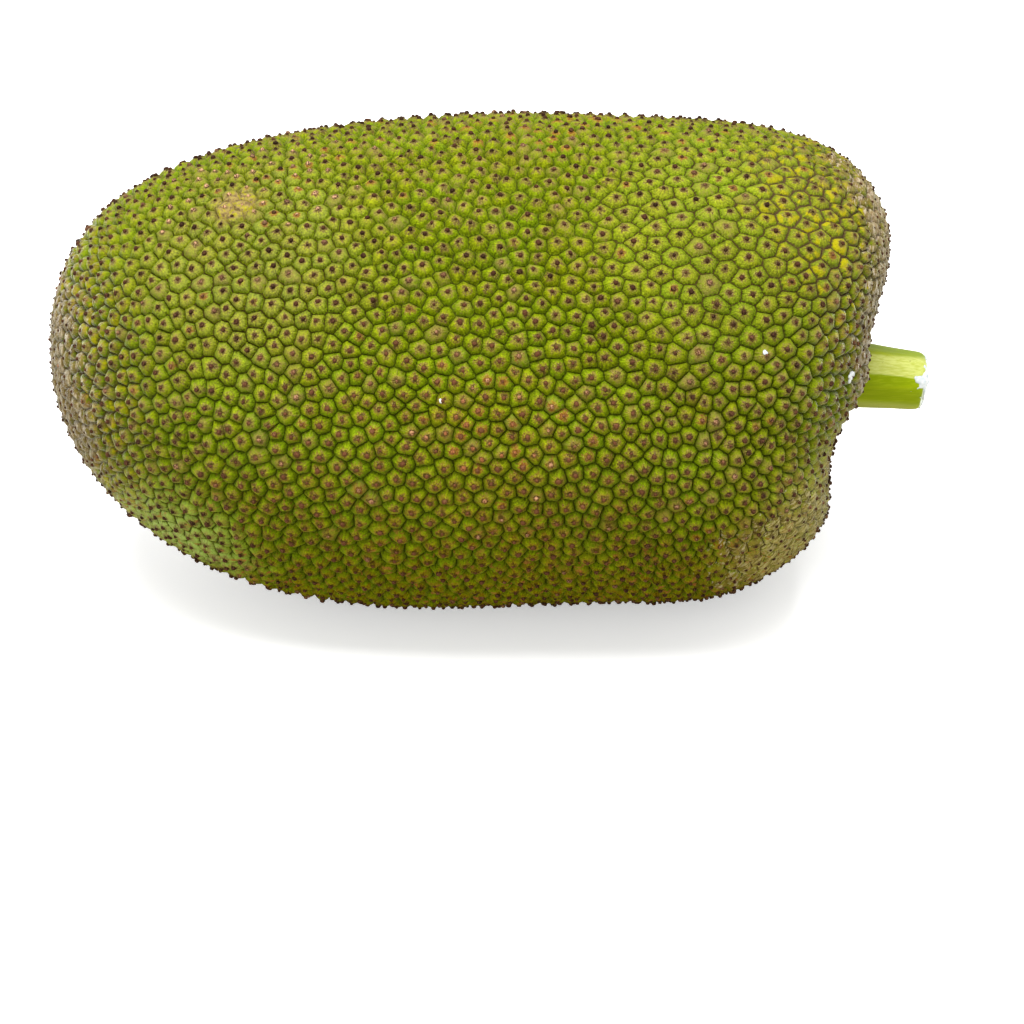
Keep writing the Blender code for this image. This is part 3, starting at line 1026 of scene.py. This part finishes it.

    # Russet: grey-brown with pale scaly ridges that run round the fruit, the palest of them partly
    # painted highlight
    round_about = r.vector("MULTIPLY", where, (1000.0, 230.0, 230.0))
    turned = {"Vector": where, "Angle": math.radians(42.0)}
    turned = r.node("ShaderNodeVectorRotate", turned, rotation_type="Y_AXIS").outputs[0]
    aslant = r.vector("MULTIPLY", turned, (170.0, 300.0, 1000.0))
    either = {0: r.math("GREATER_THAN", low_right, 0.05), 4: round_about, 5: aslant}
    scaly_place = r.node("ShaderNodeMix", either, data_type="VECTOR").outputs[1]
    scaly = r.noise(scaly_place, 1.0, 3.0, 0.70)
    russet_colour = r.ramp(
        scaly,
        (
            (0.40, rgb(72, 52, 28)),
            (0.47, rgb(142, 116, 80)),
            (0.53, rgb(184, 156, 122)),
            (0.59, rgb(252, 238, 220, 0.52)),
        ),
    )
    rosy = r.most(crest, r.times(blossom_end, 0.30))
    russet_colour = r.blend(r.times(rosy, 0.45), russet_colour, rgb(206, 176, 158))
    russet_colour = r.blend(blossom_end, russet_colour, rgb(208, 202, 188, 1.0), "MULTIPLY")
    # Painted light on the lower right rim: the pale scaly lines are painted paler still, with dark
    # lines between them.
    lit = r.times(low_right, r.fade(scaly, 0.44, 0.54, 0.0, 0.60))
    russet_colour = r.blend(lit, russet_colour, rgb(226, 212, 136, 0.80))
    lined = r.times(low_right, r.fade(scaly, 0.48, 0.41, 0.0, 0.80))
    russet_colour = r.blend(lined, russet_colour, rgb(56, 50, 10))
    russet_colour = r.blend(r.times(groove, 0.8), russet_colour, rgb(86, 62, 40))
    russet_share = r.add_times(r.centred(patchy), 2.2, russet)
    russet_share = r.add_times(grain, 1.1, russet_share)
    russet_share = r.add_times(r.centred(scaly), 0.9, russet_share)
    russet_share = r.times(r.fade(russet_share, 0.50, 0.80), r.fade(russet, 0.0, 0.25))
    opaque = r.fade(low_right, 0.0, 1.0, 0.70, 0.48)
    coloured = r.blend(r.times(russet_share, opaque), coloured, russet_colour)
    # Painted highlight: pale lines along the raised edges of the cells round the stalk.
    collar = r.patch((0.172, -0.030, 0.120), 0.012, 0.036)
    ridge = r.times(r.fade(climb, 0.10, 0.22), r.fade(climb, 0.62, 0.36))
    ridge = r.times(r.times(ridge, collar), 0.55)
    coloured = r.blend(ridge, coloured, rgb(222, 214, 178))
    # Peach scars low down
    scar = r.noise(r.vector("MULTIPLY", where, (160.0, 260.0, 420.0)), 1.0, 2.0, 0.6)
    scarred = r.times(r.fade(scar, 0.61, 0.67), low_side)
    coloured = r.blend(r.times(scarred, 0.75), coloured, rgb(196, 120, 66))

    # The pale rubbed patch near the blossom end
    rubbed = r.patch(RUBBED_SPOT, 0.006, 0.015, ragged=0.012)
    rubbed_colour = r.ramp(
        r.math("ADD", blotch, 0.5),
        ((0.36, rgb(136, 104, 76)), (0.48, rgb(190, 160, 104)), (0.62, rgb(204, 190, 44))),
    )
    coloured = r.blend(r.times(rubbed, 0.9), coloured, rubbed_colour)

    r.feed(r.shader.inputs["Specular IOR Level"], r.fade(underside_painted_shade, 0.0, 1.0, 0.30, 0.13))
    r.shader.inputs["Specular Tint"].default_value = (1.0, 0.92, 0.16, 1.0)
    r.feed(r.shader.inputs["Sheen Weight"], r.fade(flank, 0.0, 1.0, 0.07, 0.52))
    r.shader.inputs["Sheen Roughness"].default_value = 0.24
    r.feed(r.shader.inputs["Sheen Tint"], r.blend(flank, (0.85, 1.0, 0.15), (1.0, 0.98, 0.88)))

    streaks = r.times(streak, r.fade(away, 0.10, 0.35))
    relief_map = r.add_times(streaks, 0.9, r.times(fine, 0.8))
    relief_map = r.add_times(r.times(scaly, russet), 1.1, relief_map)
    rough = r.add_times(russet, 0.18, r.fade(fine, 0.3, 0.7, 0.50, 0.66))
    return r.finish(coloured, rough, relief_map, 0.85, 0.0013)


def tip_material():
    r = Recipe("dark_thorn_tip")
    where = r.where
    tone = r.attribute("tone")
    kind = r.attribute("kind")
    grain = r.noise(where, 1600.0, 2.0)
    colour = r.blend(tone, rgb(36, 20, 12), rgb(88, 52, 34))
    low = r.fade(r.node("ShaderNodeSeparateXYZ", {0: where}).outputs["Z"], 0.215, 0.165)
    pale = r.times(r.fade(kind, 0.88, 1.0), r.fade(grain, 0.42, 0.56, 0.0, 0.7))
    pale = r.times(pale, r.add_times(low, 0.7, 0.3))
    colour = r.blend(pale, colour, rgb(184, 130, 90))
    worn = r.times(r.fade(grain, 0.44, 0.72), r.add_times(low, 0.40, 0.22))
    colour = r.blend(worn, colour, rgb(160, 112, 80))
    mauve = r.patch((-0.015, -0.108, 0.125), 0.035, 0.100, (0.7, 1, 1))
    colour = r.blend(r.times(mauve, 0.6), colour, rgb(136, 86, 54))
    peach = r.patch((-0.108, -0.020, 0.226), 0.018, 0.048, (0.7, 1, 1))
    middle = r.patch((-0.004, -0.116, 0.140), 0.015, 0.045)
    peach = r.most(peach, middle)
    peach = r.fade(r.add_times(peach, 0.55, tone), 0.88, 1.12)
    peach = r.times(peach, r.fade(grain, 0.44, 0.54, 0.10, 1.0))
    colour = r.blend(peach, colour, r.blend(middle, rgb(238, 188, 142), rgb(182, 116, 70)))
    r.shader.inputs["Specular IOR Level"].default_value = 0.12
    r.shader.inputs["Specular Tint"].default_value = (1.0, 0.76, 0.50, 1.0)
    return r.finish(colour, r.fade(grain, 0.3, 0.7, 0.55, 0.80), grain, 0.4, 0.0003)


def stalk_material():
    r = Recipe("green_stalk_skin")
    where = r.where
    drawn = r.vector("MULTIPLY", where, (0.05, 1.0, 1.0))
    stripe = r.noise(drawn, 190.0, 3.0)
    fibre = r.noise(drawn, 1500.0, 3.0)
    fleck = r.noise(where, 420.0, 4.0, 0.7)
    colour = r.ramp(
        stripe,
        (
            (0.32, rgb(124, 144, 0, 0.74)),
            (0.48, rgb(134, 156, 0, 0.74)),
            (0.60, rgb(146, 164, 2, 0.74)),
            (0.72, rgb(160, 174, 16, 0.74)),
        ),
    )
    # How far above the stalk's own middle, square to its length
    above = r.vector("SUBTRACT", where, tuple(STALK_FOOT))
    above = r.node("ShaderNodeVectorMath", {0: above, 1: HIGHLIGHT_SIDE}, operation="DOT_PRODUCT")
    above = r.add_times(r.centred(stripe), 0.004, above.outputs["Value"])
    # Painted highlight: a pale band along the upper side of the stalk, where a glossy reflection of
    # the light above would lie.
    painted_highlight = r.times(r.fade(above, -0.0004, 0.0010), r.fade(above, 0.0118, 0.0098))
    highlight_colour = r.blend(r.fade(fibre, 0.36, 0.66), rgb(186, 192, 92, 0.80), rgb(216, 220, 140, 0.80))
    colour = r.blend(r.times(painted_highlight, 0.80), colour, highlight_colour)
    # Painted light: the stalk's under edge is painted paler, standing in for light thrown up from
    # below.
    under = r.fade(above, -0.0108, -0.0146)
    colour = r.blend(r.times(under, 0.55), colour, rgb(198, 204, 112, 0.80))
    colour = r.blend(r.fade(fibre, 0.44, 0.70, 0.0, 0.25), colour, rgb(176, 190, 40, 0.80))
    colour = r.blend(r.fade(fleck, 0.66, 0.74, 0.0, 0.55), colour, rgb(124, 116, 30, 0.70))
    r.shader.inputs["Specular IOR Level"].default_value = 0.28
    r.shader.inputs["Specular Tint"].default_value = (1.0, 0.94, 0.20, 1.0)
    height = r.add_times(stripe, 0.7, r.times(fibre, 0.3))
    return r.finish(colour, r.fade(fibre, 0.3, 0.7, 0.34, 0.50), height, 0.35, 0.0006)


def cut_material():
    r = Recipe("stalk_cut_face")
    where = r.where
    pith = r.noise(where, 380.0, 4.0)
    colour = r.ramp(
        pith,
        (
            (0.30, rgb(186, 196, 132, 0.9)),
            (0.50, rgb(214, 222, 206, 0.9)),
            (0.70, rgb(232, 240, 240, 0.9)),
        ),
    )
    return r.finish(colour, r.fade(pith, 0.3, 0.7, 0.45, 0.65), pith, 0.4, 0.0005)


def sap_material():
    r = Recipe("white_sap")
    where = r.where
    cloud = r.noise(where, 500.0, 3.0)
    colour = r.blend(r.fade(cloud, 0.3, 0.7), rgb(214, 226, 232, 0.62), rgb(246, 248, 248, 0.62))
    return r.finish(colour, r.fade(cloud, 0.3, 0.7, 0.16, 0.30), cloud, 0.2, 0.0003)


def dress(obj, *materials):
    obj.data.materials.clear()
    for material in materials:
        obj.data.materials.append(material)


dress(rind, rind_material())
dress(cone_tips, tip_material())
dress(cut_stalk, stalk_material(), cut_material())
sap_finish = sap_material()
dress(stalk_sap, sap_finish)
dress(rind_sap, sap_finish)
stalk_axis = stalk_place().to_3x3() @ Vector((0, 0, 1))
for face in cut_stalk.data.polygons:
    along = (face.center - STALK_FOOT).dot(stalk_axis)
    face.material_index = 1 if along > 0.0324 and face.normal.dot(stalk_axis) > 0.6 else 0

# ---------------------------------------------------------------- what rides on what
PIECES = (rind, cone_tips, cut_stalk, stalk_sap, rind_sap)
for piece in PIECES:
    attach(piece, "root")
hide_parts("fruit")
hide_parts("stalk")

# ---------------------------------------------------------------- floor, light and camera
bpy.ops.object.select_all(action="DESELECT")
bpy.ops.mesh.primitive_plane_add(size=14.0, location=(0.0, 3.0, 0.0))
floor = bpy.context.object
floor.name = "floor"
floor_look = Recipe("white_paper_floor")
# The camera sees white paper. The light that it throws back up is kept low, for a dark underside.
seen = floor_look.node("ShaderNodeLightPath").outputs["Is Camera Ray"]
spot = floor_look.node("ShaderNodeNewGeometry").outputs["Position"]
sideways = floor_look.node("ShaderNodeSeparateXYZ", {0: spot}).outputs["X"]
beside = floor_look.math("ABSOLUTE", sideways)
thrown = floor_look.blend(
    floor_look.fade(beside, 0.24, 0.34), (0.42, 0.37, 0.20), (0.93, 0.93, 0.90)
)
floor_look.feed(
    floor_look.shader.inputs["Base Color"],
    floor_look.blend(seen, thrown, (0.93, 0.93, 0.925)),
)
floor_look.shader.inputs["Emission Color"].default_value = (1.0, 1.0, 1.0, 1.0)
floor_look.feed(floor_look.shader.inputs["Emission Strength"], floor_look.times(seen, 0.42))
floor_look.shader.inputs["Roughness"].default_value = 0.9
dress(floor, floor_look.material)

world = bpy.data.worlds.new("studio")
bpy.context.scene.world = world
world.use_nodes = True
world.node_tree.nodes["Background"].inputs["Color"].default_value = (1.0, 1.0, 1.0, 1.0)
world.node_tree.nodes["Background"].inputs["Strength"].default_value = 0.80


def soft_light(name, place, aim, width, power):
    lamp = bpy.data.lights.new(name, "AREA")
    lamp.shape = "SQUARE"
    lamp.size = width
    lamp.energy = power
    obj = bpy.data.objects.new(name, lamp)
    bpy.context.collection.objects.link(obj)
    obj.location = place
    obj.rotation_euler = (Vector(aim) - Vector(place)).to_track_quat("-Z", "Y").to_euler()


soft_light("overhead", (-0.05, -0.35, 1.9), (0.0, 0.0, 0.1), 1.3, 68.0)
soft_light("front_fill", (-0.9, -1.8, 0.8), (0.0, 0.0, 0.1), 1.4, 18.0)

camera_data = bpy.data.cameras.new("camera")
camera = bpy.data.objects.new("camera", camera_data)
bpy.context.collection.objects.link(camera)
camera.location = (-0.0006, -1.7321, 1.11)
aim = Vector((0.0105, -0.0324, 0.0539))
camera.rotation_euler = (aim - camera.location).to_track_quat("-Z", "Y").to_euler()
camera_data.lens = 146.5
camera_data.sensor_width = 36.0
camera_data.clip_end = 50.0
bpy.context.scene.camera = camera
bpy.context.scene.view_settings.view_transform = "Standard"

bpy.context.view_layer.update()
for piece in PIECES:
    print(piece.name, "triangles", sum(len(f.vertices) - 2 for f in piece.data.polygons))
